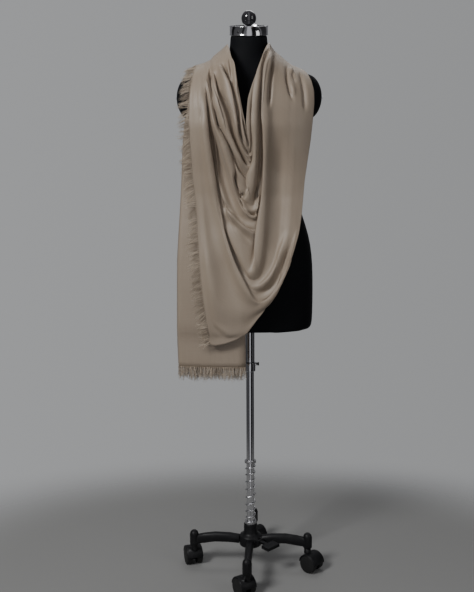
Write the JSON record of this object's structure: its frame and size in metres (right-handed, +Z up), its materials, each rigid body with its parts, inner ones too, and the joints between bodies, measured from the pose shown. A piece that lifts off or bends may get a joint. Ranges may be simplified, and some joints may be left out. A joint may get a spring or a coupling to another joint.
{
  "type": "pashmina shawl on a dress form with a wheeled stand",
  "caption": "Fringed pashmina shawl worn as a deep cowl over a limbless black dress form with a chrome neck band, on a sprung, height-adjustable chrome pole with a wheeled base.",
  "frame": {"origin": "on the pole's axis at floor level, below the middle of the whole object's box", "axes": "+Z up along the pole, the front of the dress form looks along -Y, +X is the viewer's right when facing the front"},
  "size_m": [0.4004, 0.3642, 1.5114],
  "materials": {
    "shawl": "soft fine weave",
    "fringe": "eyelash fringe of loose yarns",
    "jersey": "black stretch jersey",
    "chrome": "polished",
    "spring_steel": "bright wire",
    "dark_glass": "dark mirror gloss",
    "black_plastic": "satin",
    "caster_rubber": "satin"
  },
  "bodies": {
    "base": {"hub": "black_plastic", "leg_front": "black_plastic", "leg_right": "black_plastic", "leg_back": "black_plastic", "leg_left": "black_plastic", "spring_seat": "spring_steel", "spring": "spring_steel"},
    "pole": {"lower_tube": "chrome", "spring_ring": "spring_steel"},
    "collar_ring": {"collar": "chrome"},
    "clamp": {"clamp_screw": "black_plastic"},
    "form": {"upper_tube": "chrome", "form_flange": "chrome", "torso": "jersey", "neck_band": "chrome", "finial_stem": "chrome", "finial": "dark_glass", "band_screw": "dark_glass", "arm_cap_left": "jersey", "arm_cap_right": "jersey", "arm_screw_left": "chrome", "arm_screw_right": "chrome", "shawl_front": "shawl", "shawl_back": "shawl", "shawl_tail": "shawl", "fringe_front": "fringe", "fringe_tail": "fringe"},
    "pedal_lever": {"pedal": "black_plastic"},
    "front_fork": {"caster_front": "black_plastic"},
    "right_fork": {"caster_right": "black_plastic"},
    "back_fork": {"caster_back": "black_plastic"},
    "left_fork": {"caster_left": "black_plastic"},
    "front_wheels": {"wheels_front": "caster_rubber"},
    "right_wheels": {"wheels_right": "caster_rubber"},
    "back_wheels": {"wheels_back": "caster_rubber"},
    "left_wheels": {"wheels_left": "caster_rubber"}
  },
  "joints": [
    {"name": "cushion", "type": "slide", "parent": "base", "child": "pole", "axis": [0, 0, 1], "range_m": [-0.06, 0], "stiffness_N_per_m": 2000, "springref_m": 0.04, "deforming": ["spring"]},
    {"name": "height", "type": "slide", "parent": "pole", "child": "collar_ring", "axis": [0, 0, 1], "range_m": [-0.2, 0.1]},
    {"name": "clamp_turn", "type": "hinge", "parent": "collar_ring", "child": "clamp", "pos_m": [0.015, 0, 0.588], "axis": [1, 0, 0], "range_deg": [-180, 180]},
    {"name": "form_turn", "type": "hinge", "parent": "collar_ring", "child": "form", "pos_m": [0, 0, 0.594], "axis": [0, 0, 1], "continuous": true},
    {"name": "pedal_tip", "type": "hinge", "parent": "base", "child": "pedal_lever", "pos_m": [0.02605, -0.02697, 0.0885], "axis": [0.7193, 0.6947, 0], "range_deg": [0, 12], "stiffness_Nm_per_rad": 0.2, "springref_deg": -17.19},
    {"name": "front_swivel", "type": "hinge", "parent": "base", "child": "front_fork", "pos_m": [-0.00949, -0.15972, 0.06], "axis": [0, 0, 1], "continuous": true},
    {"name": "right_swivel", "type": "hinge", "parent": "base", "child": "right_fork", "pos_m": [0.15972, -0.00949, 0.06], "axis": [0, 0, 1], "continuous": true},
    {"name": "back_swivel", "type": "hinge", "parent": "base", "child": "back_fork", "pos_m": [0.00949, 0.15972, 0.06], "axis": [0, 0, 1], "continuous": true},
    {"name": "left_swivel", "type": "hinge", "parent": "base", "child": "left_fork", "pos_m": [-0.15972, 0.00949, 0.06], "axis": [0, 0, 1], "continuous": true},
    {"name": "front_roll", "type": "hinge", "parent": "front_fork", "child": "front_wheels", "pos_m": [-0.01744, -0.147, 0.0238], "axis": [-0.848, -0.5299, 0], "continuous": true},
    {"name": "right_roll", "type": "hinge", "parent": "right_fork", "child": "right_wheels", "pos_m": [0.17086, -0.01953, 0.0238], "axis": [0.6691, 0.7431, 0], "continuous": true},
    {"name": "back_roll", "type": "hinge", "parent": "back_fork", "child": "back_wheels", "pos_m": [0.01744, 0.147, 0.0238], "axis": [0.848, 0.5299, 0], "continuous": true},
    {"name": "left_roll", "type": "hinge", "parent": "left_fork", "child": "left_wheels", "pos_m": [-0.16435, 0.02375, 0.0238], "axis": [-0.9511, -0.309, 0], "continuous": true}
  ]
}
